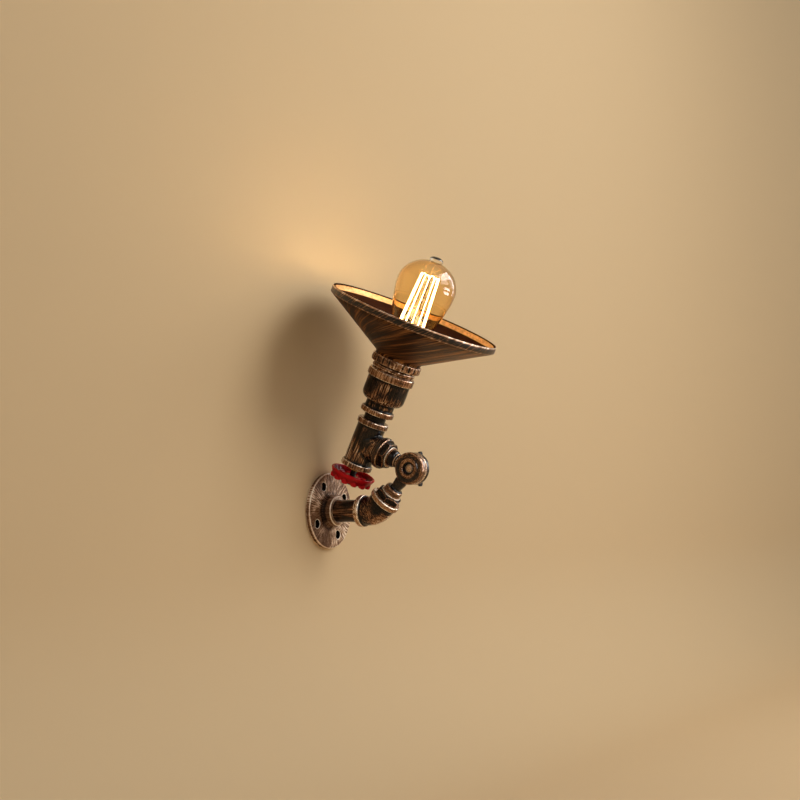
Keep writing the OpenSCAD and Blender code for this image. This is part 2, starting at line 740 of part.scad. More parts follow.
// The threaded shell that takes the lamp's cap
module screw_shell() color(brass) along_lamp() translate([0, 0, shell_base + seat])
    tube(shell_bore + 2 * shell_t, shell_bore, shell_h);

// The springy centre contact
module centre_contact() color(brass) along_lamp() translate([0, 0, shell_base + seat])
    cylinder(d = contact_d, h = contact_t - seat);

// The collar that seats the lampholder on the reducing socket
module holder_collar() color(bronze) along_lamp() translate([0, 0, collar_base]) {
    r = collar_d / 2;
    groove_r = r - 0.65 * collar_wall;           // bottom of the grooves above and below the band
    groove_h = collar_h / 4;
    edge = 0.4;
    band = collar_h - groove_h;
    revolve([
        [holder_r + thread_gap, 0], [groove_r, 0], [groove_r, groove_h], [r - edge, groove_h],
        [r, groove_h + edge], [r, band - edge], [r - edge, band], [groove_r, band],
        [groove_r, collar_h], [holder_r + thread_gap, collar_h]
    ]);
}

// The knurled ring under the shade
module clamp_ring() color(bronze) along_lamp() translate([0, 0, clamp_base]) difference() {
    r = clamp_d / 2;
    flutes = 22;
    revolve(concat(
        [[holder_r + thread_gap, 0], [r - 1.2, 0]],
        arc(r - 1.2, 1.2, 1.2, -90, 0, 4),
        arc(r - 1.2, clamp_h - 1.2, 1.2, 0, 90, 4),
        [[holder_r + thread_gap, clamp_h]]
    ));
    for (i = [0:flutes - 1])
        rotate([0, 0, i * 360 / flutes])
            translate([r + 0.5, 0, -1]) cylinder(d = 2.6, h = clamp_h + 2, $fn = 24);
}

// The spun shade: a clamped foot, a short turn, a straight cone and a hemmed band round the rim
module shade() color(bronze) along_lamp() {
    t = shade_t;
    neck_r = shade_neck_d / 2;
    rim_r = shade_d / 2;
    e = 0.7;                                     // rounding of the band's edges
    flare = 2.5;                                 // radius of the turn from the neck to the cone
    turn_x = neck_r + flare;
    turn_z = shade_base + shade_neck_h;
    foot_x = rim_r - e;                          // where the cone meets the band
    foot_z = rim_top - band_h;
    run = [foot_x - turn_x, foot_z - turn_z];
    // the cone's outer face touches the turn and ends at the foot of the band
    slope = atan2(run[1], run[0]) - asin(flare / norm(run));
    band_x = rim_r - band_t;
    inner_z = foot_z + t * cos(slope) + (band_x - foot_x + t * sin(slope)) * tan(slope);
    revolve(concat(
        [[holder_r + thread_gap, shade_base], [neck_r, shade_base]],
        arc(turn_x, turn_z, flare, 180, 90 + slope, 5),
        [[foot_x, foot_z], [rim_r, foot_z + e]],
        arc(rim_r - e, rim_top - e, e, 0, 90, 4),
        arc(band_x + e, rim_top - e, e, 90, 180, 4),
        [[band_x, inner_z]],
        arc(turn_x, turn_z, flare + t, 90 + slope, 180, 5),
        [[neck_r - t, shade_base + t], [holder_r + thread_gap, shade_base + t]]
    ));
}

// The ring inside the shade that clamps it on the lampholder
module inner_ring() color(bronze) along_lamp() translate([0, 0, ring_base]) {
    r = shade_neck_d / 2 - shade_t - clear;
    tube(2 * r, holder_d + 2 * thread_gap, inner_ring_h);
}

// The lamp's screw cap, with its rolled knuckle thread
module bulb_cap() color(brass) along_lamp() {
    r = cap_d / 2;
    turns = floor((cap_h - 4) / cap_pitch);
    n = 8;
    outer = [for (i = [0:turns * n]) [r - 0.55 + 0.55 * cos(i * 360 / n), cap_base + 2 + i * cap_pitch / n]];
    revolve(concat(
        [[insulator_top_d / 2, cap_base], [r, cap_base + 1.2]],
        outer,
        [[r - 0.1, cap_top], [r - cap_t, cap_top]],
        [for (i = [turns * n:-1:0]) [outer[i][0] - cap_t, outer[i][1]]],
        [[r - 1.2, cap_base + 1.4], [insulator_top_d / 2 - 0.5, cap_base + 0.4]]
    ));
}

// The glassy insulator under the cap
module cap_insulator() color([0.08, 0.08, 0.09]) along_lamp()
    translate([0, 0, cap_base - insulator_h]) revolve([
        [0, seat], [cap_contact_d / 2 + 1, seat],
        [insulator_top_d / 2 - 0.6, insulator_h - seat], [0, insulator_h - seat]
    ]);

// The solder button that meets the centre contact
module cap_contact() color(steel) along_lamp() translate([0, 0, bulb_base]) revolve([
    [0, 0], [cap_contact_d / 2 - 1.2, 0], [cap_contact_d / 2, 0.8],
    [cap_contact_d / 2, cap_contact_h], [0, cap_contact_h]
]);

// Outline of the glass from its neck to the pip, set in by t: a straight cone, a blend, then the dome
function glass_outline(t) = let (
    blend = 16,
    rise = dome_base - neck_top,
    slope = (bulb_r - glass_neck_r) / (rise - blend / 2)
) concat(
    [[glass_neck_r - t, cap_top - cap_lip], [glass_neck_r - t, neck_top]],
    [for (i = [0:6]) let (s = i / 6)
        [bulb_r - t - slope * blend / 2 * (1 - s) * (1 - s), dome_base - blend * (1 - s)]],
    [for (i = [1:9]) let (a = i * dome_end / 9)
        [(bulb_r - t) * cos(a), dome_base + (dome_h - t) * sin(a)]]
);

// The amber glass with its sealed pip
module bulb_glass() color([0.9, 0.6, 0.25, 0.4]) along_lamp() {
    inner = glass_outline(glass_t);
    pip_half = (bulb_tip - dome_base - dome_h * sin(dome_end)) / (1 + sin(pip_tuck));
    revolve(concat(
        glass_outline(0),
        [for (i = [1:8]) let (a = i * (90 + pip_tuck) / 8 - pip_tuck)
            [pip_r * cos(a), bulb_tip - pip_half * (1 - sin(a))]],
        [[0, dome_base + dome_h - glass_t]],
        [for (i = [len(inner) - 1:-1:0]) inner[i]]
    ));
}

// The glass mount: a flared foot in the neck, a pinch and the rod that carries the hooks
module glass_stem() color([0.8, 0.85, 0.85, 0.5]) along_lamp() {
    foot = cap_top - cap_lip;
    pinch = cage_base - 4;
    revolve([
        [0, foot], [glass_neck_r - glass_t - 0.15, foot], [glass_neck_r - glass_t - 0.15, foot + 1.2],
        [stem_foot_d / 2, foot + 4], [3.4, pinch - 3], [2.4, pinch], [rod_d / 2, pinch + 2],
        [rod_d / 2, cage_top - 1], [0, cage_top - 0.2]
    ]);
}

// The two lead-in wires from the mount to the first and the last strand
module lead_wires() color(steel) along_lamp() for (i = [0, strand_count - 1]) {
    wire = hook_d * 1.5;
    start = 3;                                   // just off the glass mount
    z = cage_base - lead_drop;
    rotate([0, 0, i * strand_turn]) {
        translate([start, 0, z]) rotate([0, 90, 0]) cylinder(d = wire, h = cage_foot_r + wire / 2 - start);
        translate([cage_foot_r, 0, z]) cylinder(d = wire - 0.1, h = lead_drop - bend_lap);
    }
}

// The fine wires that hold the bends of the filament off the rod
module cage_hooks() color(steel) along_lamp() {
    for (i = [0:strand_count - 2]) {
        top = i % 2 == 0;
        z = top ? cage_top - 3 : cage_base + 3;
        reach = (top ? cage_r : cage_foot_r) * cos(strand_turn / 2) - strand_d;
        rotate([0, 0, (i + 0.5) * strand_turn]) translate([rod_d / 2 + seat, 0, z]) rotate([0, 90, 0])
            cylinder(d = hook_d, h = reach - rod_d / 2);
    }
}

// The filament: one strand led up and down round the cage, which widens to its foot
module filament() color([1, 0.85, 0.5]) along_lamp() {
    lap = 0.2;                                   // length by which strands and bends run into each other
    flare = cage_foot_r - cage_r;
    for (i = [0:strand_count - 1])
        rotate([0, 0, i * strand_turn]) translate([cage_foot_r, 0, cage_base])
            rotate([0, -atan2(flare, cage_len), 0]) translate([0, 0, -lap])
                cylinder(d = strand_d, h = norm([flare, cage_len]) + 2 * lap);
    for (i = [0:strand_count - 2]) {
        top = i % 2 == 0;
        r = top ? cage_r : cage_foot_r;
        rotate([0, 0, (i + 0.5) * strand_turn])
            translate([r * cos(strand_turn / 2), 0, top ? cage_top : cage_base])
                rotate([90, 0, 90]) rotate([0, 0, top ? 0 : 180])
                    rotate_extrude(angle = 180) translate([r * sin(strand_turn / 2), 0])
                        circle(d = strand_d + 0.12);
    }
}

wall_flange();
wall_nipple();
elbow();
lower_bush();
lower_stem_washer();
lower_swivel();
pivot_bolt();
friction_washer();
wing_washer();
wing_nut();
upper_swivel();
upper_stem_washer();
upper_bush();
tee();
end_plug();
switch_casing();
switch_bush();
switch_nut();
switch_spindle();
handwheel();
wheel_screw();
upper_nipple();
reducing_socket();
lamp_leads();
lampholder_body();
screw_shell();
centre_contact();
holder_collar();
clamp_ring();
shade();
inner_ring();
bulb_cap();
cap_insulator();
cap_contact();
bulb_glass();
glass_stem();
lead_wires();
cage_hooks();
filament();
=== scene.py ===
# A swing arm wall lamp made of pipe fittings: antique iron, a red valve wheel, a bronzed shade and
# an amber bulb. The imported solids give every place, and each section below finishes one piece.
import json
import math
import bmesh
import bpy
import numpy as np
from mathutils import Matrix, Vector

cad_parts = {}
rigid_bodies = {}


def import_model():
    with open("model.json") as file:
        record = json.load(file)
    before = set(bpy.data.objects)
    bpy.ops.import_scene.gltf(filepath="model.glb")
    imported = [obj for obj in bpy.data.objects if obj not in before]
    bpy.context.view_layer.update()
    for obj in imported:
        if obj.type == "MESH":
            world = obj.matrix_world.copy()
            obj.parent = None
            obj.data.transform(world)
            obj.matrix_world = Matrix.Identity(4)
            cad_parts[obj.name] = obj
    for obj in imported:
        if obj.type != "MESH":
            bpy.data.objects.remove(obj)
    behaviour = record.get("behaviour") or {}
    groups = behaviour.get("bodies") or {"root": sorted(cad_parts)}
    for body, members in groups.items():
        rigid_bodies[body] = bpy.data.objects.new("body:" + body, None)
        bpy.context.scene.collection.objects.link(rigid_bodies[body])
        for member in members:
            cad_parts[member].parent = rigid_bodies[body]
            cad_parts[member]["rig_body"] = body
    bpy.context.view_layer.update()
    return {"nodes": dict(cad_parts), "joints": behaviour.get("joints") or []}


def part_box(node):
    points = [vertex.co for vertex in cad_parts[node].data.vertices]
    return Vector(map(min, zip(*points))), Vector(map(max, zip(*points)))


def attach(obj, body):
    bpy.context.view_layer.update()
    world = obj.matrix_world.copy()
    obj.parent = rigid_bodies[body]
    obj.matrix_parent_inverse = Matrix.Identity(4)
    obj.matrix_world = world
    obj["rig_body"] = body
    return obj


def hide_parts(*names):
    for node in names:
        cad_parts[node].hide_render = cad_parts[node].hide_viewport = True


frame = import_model()


# Wall flange. A cast iron disc with a boss for the pipe and four plain screw holes. It is painted
# black and dry-brushed with bronze, which stays on what stands out; the hollows stay black, and the
# walls of the holes are made darker than the rest, as painted shade for the shadow inside them.
wall_centre = Vector((0, 0, 0))
out_of_wall = Vector((0, -1, 0))
wall_place = (wall_centre, out_of_wall)
flange_grain = 0.00045
flange_softening = 4
screw_circle_radius = 0.0262
screw_hole_reach = 0.0045
hole_wall_lean = 0.5
weld_distance = 1e-6
smoothing_rate = 4
edge_reach = 0.0005
rise_reach = 0.0042
edge_height = (0.000022, 0.000046)
bead_height = (0.00022, 0.0004)
flange_bead_height = (0.00075, 0.00105)
hollow_depth = (0.00005, -0.0004)
stroke_levels = (0.36, 0.66)
press_clouds = 46.0
press_levels = (0.4, 0.62)
lightest_press = 0.22
grain_clouds = 900.0
grain_share = 0.5
metal_levels = (0.3, 0.64)
paint_roughness = 0.2
bronze_roughness = 0.34
lacquer_roughness = 0.08
paint_black = (0.0042, 0.0031, 0.0027)
paint_umber = (0.036, 0.018, 0.010)
rubbed_copper = (0.27, 0.122, 0.056)
rubbed_tan = (0.52, 0.32, 0.185)
# The palest bronze, on the sharpest edges: bare worn metal, and a painted highlight for the glints there.
bare_edge_and_glint = (0.92, 0.80, 0.66)
flange_brown = (0.22, 0.115, 0.064)
flange_tan = (0.66, 0.44, 0.28)


def set_inputs(tree, node, inputs):
    """Sets a shader node's inputs, by name or number; each takes a link or a plain value."""
    for name, value in inputs.items():
        if isinstance(value, bpy.types.NodeSocket):
            tree.links.new(value, node.inputs[name])
        else:
            node.inputs[name].default_value = value


def add(tree, kind, inputs=None, **settings):
    """Adds a shader node with these settings and inputs."""
    node = tree.nodes.new("ShaderNode" + kind)
    for name, value in settings.items():
        setattr(node, name, value)
    set_inputs(tree, node, inputs or {})
    return node


def new_finish(name):
    """A bare material, with its node tree and its surface shader."""
    finish = bpy.data.materials.new(name)
    finish.use_nodes = True
    return finish, finish.node_tree, finish.node_tree.nodes["Principled BSDF"]


def on_piece(tree):
    """The place of a point in its piece's own coordinates, in metres."""
    return add(tree, "TexCoord").outputs["Object"]


def set_on(tree, centre, axis):
    """The piece's own coordinates moved to a centre and turned so that Z runs along an axis."""
    turn = Vector((0, 0, 1)).rotation_difference(axis).inverted()
    moved = {"Vector": on_piece(tree), "Location": turn @ -centre, "Rotation": turn.to_euler()}
    return add(tree, "Mapping", moved).outputs[0]


def reckon(tree, operation, *values):
    """One step of arithmetic on links or plain values."""
    return add(tree, "Math", dict(enumerate(values)), operation=operation).outputs[0]


def weigh(tree, value, share, base):
    """value times share plus base."""
    return reckon(tree, "MULTIPLY_ADD", value, share, base)


def mottle(tree, place, scale=1.0, detail=3.0, roughness=0.55):
    """Cloudy noise from 0 to 1; scale counts clouds in a metre, or in one unit of a stretched place."""
    settings = {"Vector": place, "Scale": scale, "Detail": detail, "Roughness": roughness}
    return add(tree, "TexNoise", settings).outputs["Fac"]


def stretched(tree, place, across, along):
    """The same place with the pattern drawn out along Z, or round it where along is the larger."""
    return add(tree, "VectorMath", {0: place, 1: (across, across, along)}, operation="MULTIPLY").outputs[0]


def ease(tree, value, low, high, start=0.0, end=1.0):
    """Goes smoothly from start to end while value goes from low to high."""
    limits = {"Value": value, "From Min": low, "From Max": high, "To Min": start, "To Max": end}
    return add(tree, "MapRange", limits, interpolation_type="SMOOTHSTEP").outputs[0]


def tint(tree, value, *stops):
    """A colour for each level of value; a stop is a level and a colour."""
    node = add(tree, "ValToRGB", {0: value})
    ramp = node.color_ramp
    for element, (level, colour) in zip(ramp.elements, (stops[0], stops[-1])):
        element.position = level
        element.color = (*colour, 1.0)
    for level, colour in stops[1:-1]:
        ramp.elements.new(level).color = (*colour, 1.0)
    return node.outputs[0]


def relief(tree, height, strength, distance):
    """A fine unevenness of the surface that follows height."""
    return add(tree, "Bump", {"Height": height, "Strength": strength, "Distance": distance}).outputs[0]


def worn(tree, mark, low, high):
    """How far a point stands out, from the piece's own wear marks."""
    found = add(tree, "Attribute", attribute_name=mark).outputs["Fac"]
    return ease(tree, found, low, high)


def antique(name, strokes, place, ground, streaks, beads=0.3, edges=0.6, metal=0.65, gloss=0.21,
            proud=bead_height, hollows=0.4, copper=rubbed_copper, tan=rubbed_tan):
    """Black paint dry-brushed with bronze under a thin lacquer. strokes is the drawn-out pattern of
    the brush, ground the bronze that is left everywhere, streaks what a full stroke adds where the
    brush was pressed, and beads and edges what is left on what stands out, the palest edges also a
    painted highlight; proud says how far a bead stands out, hollows how black the hollows stay and
    gloss how much lacquer there is."""
    finish, tree, shader = new_finish(name)
    here = set_on(tree, *place)
    stroke = ease(tree, strokes(tree, here), *stroke_levels)
    pressing = mottle(tree, here, press_clouds, detail=2.0, roughness=0.5)
    pressed = ease(tree, pressing, *press_levels, start=lightest_press)
    grain = mottle(tree, here, grain_clouds, detail=4.0, roughness=0.68)
    brushed = reckon(tree, "MULTIPLY", stroke, pressed)
    level = weigh(tree, brushed, streaks, ground - grain_share / 2)
    level = weigh(tree, grain, grain_share, level)
    level = weigh(tree, worn(tree, "rise", *proud), beads, level)
    level = weigh(tree, worn(tree, "rise", *hollow_depth), -hollows, level)
    # Edges go towards the bare-edge colour: real wear, and a painted highlight as well.
    level = weigh(tree, worn(tree, "edge", *edge_height), edges, level)
    ridges = weigh(tree, stroke, 0.5, weigh(tree, grain, 0.5, 0.0))
    set_inputs(tree, shader, {
        "Base Color": tint(tree, level, (0.18, paint_black), (0.36, paint_umber), (0.56, copper),
                           (0.8, tan), (1.0, bare_edge_and_glint)),
        "Metallic": ease(tree, level, *metal_levels, end=metal),
        "Roughness": ease(tree, stroke, 0.0, 1.0, start=paint_roughness, end=bronze_roughness),
        "Specular IOR Level": gloss / 2,
        "Coat Weight": gloss,
        "Coat Roughness": lacquer_roughness,
        "Normal": relief(tree, ridges, strength=0.22, distance=0.00015)})
    return finish


def bristle_marks(tree, place):
    """What a stiff brush leaves, on a place that is stretched the way it was drawn."""
    return mottle(tree, place, detail=4.0, roughness=0.62)


def polar(tree, here):
    """Distance along the axis, distance from it and the angle round it, as three values."""
    x, y, along = add(tree, "SeparateXYZ", {0: here}).outputs
    squared = weigh(tree, x, x, reckon(tree, "MULTIPLY", y, y))
    return along, reckon(tree, "SQRT", squared), reckon(tree, "ARCTAN2", y, x)


def wound(tree, angle, out, scale_round, scale_out):
    """Coordinates that go once round a ring with the angle, so that a pattern has no seam."""
    cosine = reckon(tree, "COSINE", angle)
    sine = reckon(tree, "SINE", angle)
    ring = add(tree, "CombineXYZ", {0: cosine, 1: sine, 2: out}).outputs[0]
    return stretched(tree, ring, scale_round, scale_out)


def fanned(scale_round, scale_out):
    """Brush strokes straight out from the axis, or round it where scale_out is much the larger."""
    def strokes(tree, here):
        along, out, angle = polar(tree, here)
        return bristle_marks(tree, wound(tree, angle, weigh(tree, along, 1.0, out), scale_round, scale_out))
    return strokes


def new_object(name, data):
    """A new object in the scene that holds this mesh, lamp or camera."""
    made = bpy.data.objects.new(name, data)
    bpy.context.scene.collection.objects.link(made)
    return made


def copy_of(node):
    """A solid's mesh as a new piece, with its loose triangles joined up."""
    skin = frame["nodes"][node].data.copy()
    welded = bmesh.new()
    welded.from_mesh(skin)
    bmesh.ops.remove_doubles(welded, verts=welded.verts, dist=weld_distance)
    welded.to_mesh(skin)
    welded.free()
    skin.materials.clear()
    return new_object("finished_" + node, skin)


def set_in_place(piece, node, slot, *finishes):
    """Gives a piece its finishes, and has it stand for its solid on that solid's body."""
    for finish in finishes:
        piece.data.materials.append(finish)
    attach(piece, frame["nodes"][node]["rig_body"])
    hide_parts(node)
    return piece


def points_of(piece):
    """A piece's points as its modifiers leave them, and which way each of them faces."""
    shaped = piece.evaluated_get(bpy.context.evaluated_depsgraph_get()).data
    places = np.empty(len(shaped.vertices) * 3, np.float32)
    shaped.vertices.foreach_get("co", places)
    facing = np.empty(len(shaped.vertices) * 3, np.float32)
    shaped.vertex_normals.foreach_get("vector", facing)
    return places.reshape(-1, 3), facing.reshape(-1, 3)


def smooth_out(piece, times):
    """Draws every point of a piece half way to its neighbours, this many times."""
    smoothing = piece.modifiers.new("smoothing", "SMOOTH")
    smoothing.factor = 0.5
    smoothing.iterations = times


def mark_wear(piece, grain):
    """Writes how far each point stands out from what is near it (edge) and further round it (rise)."""
    places, facing = points_of(piece)
    for mark, distance in (("edge", edge_reach), ("rise", rise_reach)):
        smooth_out(piece, round(smoothing_rate * (distance / grain) ** 2))
        proud = ((places - points_of(piece)[0]) * facing).sum(1)
        piece.modifiers.clear()
        piece.data.attributes.new(mark, "FLOAT", "POINT").data.foreach_set("value", proud)


def casting(node, grain, softening, slot, *finishes):
    """A solid as it comes out of the sand: an even skin of small faces with softened edges."""
    piece = copy_of(node)
    skin = piece.modifiers.new("skin", "REMESH")
    skin.mode = "VOXEL"
    skin.voxel_size = grain
    smooth_out(piece, softening)
    shaped = piece.evaluated_get(bpy.context.evaluated_depsgraph_get())
    piece.data = bpy.data.meshes.new_from_object(shaped)
    piece.modifiers.clear()
    piece.data.materials.clear()
    piece.data.shade_smooth()
    mark_wear(piece, grain)
    return set_in_place(piece, node, slot, *finishes)


def give_second_finish(piece, chosen):
    """Gives the faces that chosen picks the second of a piece's finishes, and the rest the first."""
    for face in piece.data.polygons:
        face.material_index = int(chosen(face))


def in_screw_hole(face):
    """Whether a face of the flange is the wall of a screw hole: square to the disc, and no further
    from the circle of the holes than a hole's radius and a little more."""
    from_centre = face.center - wall_centre
    out = (from_centre - from_centre.dot(out_of_wall) * out_of_wall).length
    is_wall = abs(face.normal.dot(out_of_wall)) < hole_wall_lean
    return is_wall and abs(out - screw_circle_radius) < screw_hole_reach


flange_strokes = fanned(scale_round=30.0, scale_out=130.0)
flange_finish = antique("flange_antique", flange_strokes, wall_place, ground=0.44, streaks=0.58, beads=0.12,
                        edges=0.8, metal=0.1, gloss=0.04, proud=flange_bead_height, hollows=0.2,
                        copper=flange_brown, tan=flange_tan)
# Painted shade: the walls of the screw holes get a darker copy of the finish.
hole_shade_finish = antique("hole_painted_shade", flange_strokes, wall_place, ground=0.0, streaks=0.2, beads=0.0,
                      edges=0.35, gloss=0.02)
flange = casting("wall_flange", flange_grain, flange_softening, "antique_iron", flange_finish, hole_shade_finish)
give_second_finish(flange, in_screw_hole)


# Wall nipple. A short length of half-inch pipe, threaded into the flange's boss and the elbow's
# lower mouth. It is brushed with bronze along its length over a dark brown ground.
pipe_grain = 0.0004
pipe_softening = 2


def drawn(across, along):
    """Brush strokes along the axis where along is the smaller scale, and round it where across is."""
    return lambda tree, here: bristle_marks(tree, stretched(tree, here, across, along))


nipple_strokes = drawn(across=900.0, along=50.0)
nipple_finish = antique("nipple_antique", nipple_strokes, wall_place, ground=0.17, streaks=0.56)
casting("wall_nipple", pipe_grain, pipe_softening, "antique_iron", nipple_finish)


# Elbow. A 45 degree malleable iron elbow with a raised bead round each mouth, brushed crosswise so
# that short copper strokes cover its back.
cast_softening = 3
elbow_low, elbow_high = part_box("elbow")
elbow_centre = (elbow_low + elbow_high) / 2
elbow_axis = Vector((0, -0.92, 0.38))
elbow_strokes = drawn(across=300.0, along=1300.0)
elbow_finish = antique("elbow_antique", elbow_strokes, (elbow_centre, elbow_axis), ground=0.11, streaks=0.56,
                       beads=0.5, edges=0.7)
casting("elbow", pipe_grain, cast_softening, "antique_iron", elbow_finish)


# Lower bush and its washer. A hexagon bush screwed into the elbow's upper mouth, black on its flats
# with the paint rubbed through on the corners, and a thin bronzed washer on top of it.
bush_grain = 0.0003
turned_softening = 2
crisp_softening = 1


def joint_named(name):
    """What the frame says of one joint."""
    return next(joint for joint in frame["joints"] if joint["name"] == name)


pivot = Vector(joint_named("arm_tilt")["pos_m"])
bush_low, bush_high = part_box("lower_bush")
bush_centre = (bush_low + bush_high) / 2
stem_axis = Vector((0, pivot.y - bush_centre.y, pivot.z - bush_centre.z)).normalized()
stem_place = (bush_centre, stem_axis)
bush_strokes = drawn(across=500.0, along=500.0)
bush_finish = antique("bush_antique", bush_strokes, stem_place, ground=0.06, streaks=0.2, beads=0.05,
                      edges=0.4, gloss=0.18)
casting("lower_bush", bush_grain, turned_softening, "antique_iron", bush_finish)
washer_strokes = drawn(across=700.0, along=700.0)
washer_finish = antique("washer_antique", washer_strokes, stem_place, ground=0.4, streaks=0.3, beads=0.2)
casting("lower_stem_washer", bush_grain, crisp_softening, "bronzed_steel", washer_finish)


# Lower swivel. The waisted stem and the front eye of the clamped swivel, one casting: a raised
# copper ring round a black recess on the eye's face.
swivel_grain = 0.00032
swivel_bead_height = (0.0004, 0.0008)
swivel_axis = Vector((1, 0, 0))
swivel_place = (pivot, swivel_axis)
eye_strokes = fanned(scale_round=5.0, scale_out=900.0)
swivel_finish = antique("swivel_antique", eye_strokes, swivel_place, ground=0.16, streaks=0.4, beads=0.26,
                        edges=0.45, gloss=0.4, proud=swivel_bead_height)
casting("lower_swivel", swivel_grain, cast_softening, "antique_iron", swivel_finish)


# Clamp of the swivel. A domed bolt, a fibre friction washer between the eyes, a steel washer and a
# wing nut behind, which is slackened to set the arm.
sharp_angle = math.radians(30)
zinc_bright = (0.62, 0.62, 0.6)
zinc_dull = (0.36, 0.34, 0.31)
zinc_roughness = 0.3
insulation_black = (0.014, 0.013, 0.012)
insulation_bloom = (0.04, 0.037, 0.034)
bolt_strokes = fanned(scale_round=4.0, scale_out=700.0)
bolt_finish = antique("bolt_antique", bolt_strokes, swivel_place, ground=0.42, streaks=0.2)
casting("pivot_bolt", bush_grain, crisp_softening, "bronzed_steel", bolt_finish)
wing_finish = antique("wing_antique", bolt_strokes, swivel_place, ground=0.12, streaks=0.2, beads=0.05,
                      edges=0.1, gloss=0.1)
casting("wing_nut", bush_grain, cast_softening, "bronzed_steel", wing_finish)


def machined(node, slot, *finishes):
    """A turned or pressed solid: its own faces, smooth where they curve and sharp at its edges."""
    piece = copy_of(node)
    piece.data.shade_smooth()
    piece.data.set_sharp_from_angle(angle=sharp_angle)
    return set_in_place(piece, node, slot, *finishes)


def brushed_metal(name, bright, dull, roughness):
    """Plain metal with fine scratches and a little tarnish."""
    finish, tree, shader = new_finish(name)
    place = on_piece(tree)
    tarnish = mottle(tree, place, 260.0, detail=4.0)
    scratch = mottle(tree, stretched(tree, place, across=2600.0, along=300.0))
    set_inputs(tree, shader, {
        "Base Color": tint(tree, tarnish, (0.35, dull), (0.65, bright)),
        "Roughness": ease(tree, scratch, 0.3, 0.7, start=roughness - 0.06, end=roughness + 0.1),
        "Metallic": 1.0})
    return finish


def dull_black(name, colour, bloom):
    """Moulded or fibre insulation, matt with a pale bloom."""
    finish, tree, shader = new_finish(name)
    cloud = mottle(tree, on_piece(tree), 500.0, detail=4.0)
    set_inputs(tree, shader, {
        "Base Color": tint(tree, cloud, (0.35, colour), (0.7, bloom)),
        "Roughness": ease(tree, cloud, 0.3, 0.7, start=0.42, end=0.62)})
    return finish


steel_finish = brushed_metal("zinc_steel", zinc_bright, zinc_dull, zinc_roughness)
insulation_finish = dull_black("black_insulation", insulation_black, insulation_bloom)
machined("friction_washer", "black_insulation", insulation_finish)
machined("wing_washer", "steel", steel_finish)


# Upper swivel. The domed stem and the rear eye, which turn with the lamp head, with a washer and a
# hexagon bush that screws into the tee's branch.
upper_finish = antique("upper_swivel_antique", eye_strokes, swivel_place, ground=0.08, streaks=0.26,
                       beads=0.1, proud=swivel_bead_height)
casting("upper_swivel", swivel_grain, cast_softening, "antique_iron", upper_finish)
casting("upper_stem_washer", bush_grain, crisp_softening, "bronzed_steel", washer_finish)
casting("upper_bush", bush_grain, turned_softening, "antique_iron", bush_finish)


# Tee. A malleable iron tee whose run carries the lamp and the valve, with a bead round each mouth.
# The bronze is drawn along the run and laid thin on the branch's bead, which is kept darker as painted
# shade; a plug closes the lower mouth.
branch_bead_start = 0.0198
wheel_turn = joint_named("wheel_turn")
tee_centre = Vector(wheel_turn["pos_m"])
lamp_axis = Vector(wheel_turn["axis"]).normalized()
lamp_place = (tee_centre, lamp_axis)
branch_axis = Vector((0, -lamp_axis.z, lamp_axis.y))


def on_branch_bead(face):
    """Whether a face of the tee is on the bead of its branch."""
    return (face.center - tee_centre).dot(branch_axis) > branch_bead_start


tee_strokes = drawn(across=850.0, along=60.0)
tee_finish = antique("tee_antique", tee_strokes, lamp_place, ground=0.16, streaks=0.84, beads=0.2,
                     gloss=0.35)
# Painted shade: the branch's bead gets a darker copy of the tee's finish.
branch_strokes = drawn(across=90.0, along=800.0)
branch_shaded_finish = antique("branch_antique_painted_shade", branch_strokes, (tee_centre, branch_axis), ground=0.12,
                        streaks=0.34, beads=0.12, gloss=0.4)
tee = casting("tee", pipe_grain, cast_softening, "antique_iron", tee_finish, branch_shaded_finish)
give_second_finish(tee, on_branch_bead)
casting("end_plug", bush_grain, turned_softening, "antique_iron", bush_finish)


# Valve. A small rotary switch in the tee's lower end, worked by a cast wheel in glossy deep red
# enamel that is held on the spindle by one screw.
wheel_grain = 0.0003
pooling_depth = (-0.0004, 0.0008)
enamel_red = (0.54, 0.009, 0.015)
enamel_dark = (0.16, 0.002, 0.004)
brass_bright = (0.74, 0.52, 0.2)
brass_dull = (0.46, 0.28, 0.09)
brass_roughness = 0.28
blackened_bright = (0.06, 0.05, 0.045)
blackened_dull = (0.02, 0.017, 0.015)
blackened_roughness = 0.34


def enamel(name):
    """Thick glossy paint, darker where it pooled in the hollows."""
    finish, tree, shader = new_finish(name)
    place = on_piece(tree)
    cloud = mottle(tree, place, 180.0)
    ripple = mottle(tree, place, 420.0, detail=2.0)
    level = weigh(tree, worn(tree, "rise", *pooling_depth), 0.6, weigh(tree, cloud, 0.5, 0.0))
    set_inputs(tree, shader, {
        "Base Color": tint(tree, level, (0.2, enamel_dark), (0.75, enamel_red)),
        "Roughness": ease(tree, cloud, 0.3, 0.7, start=0.12, end=0.22),
        "Specular IOR Level": 0.1,
        "Normal": relief(tree, ripple, strength=0.12, distance=0.0003)})
    return finish


casting("handwheel", wheel_grain, cast_softening, "red_paint", enamel("wheel_enamel"))
brass_finish = brushed_metal("lamp_brass", brass_bright, brass_dull, brass_roughness)
machined("switch_casing", "black_insulation", insulation_finish)
machined("switch_bush", "brass", brass_finish)
machined("switch_nut", "brass", brass_finish)
dark_steel_finish = brushed_metal("blackened_steel", blackened_bright, blackened_dull, blackened_roughness)
machined("switch_spindle", "steel", dark_steel_finish)
machined("wheel_screw", "steel", dark_steel_finish)


# Upper nipple. A close nipple of half-inch pipe between the tee and the reducing socket, left black
# in the shadow of the two beads.
neck_strokes = drawn(across=90.0, along=900.0)
neck_finish = antique("neck_antique", neck_strokes, lamp_place, ground=0.12, streaks=0.2, beads=0.1)
casting("upper_nipple", pipe_grain, crisp_softening, "antique_iron", neck_finish)


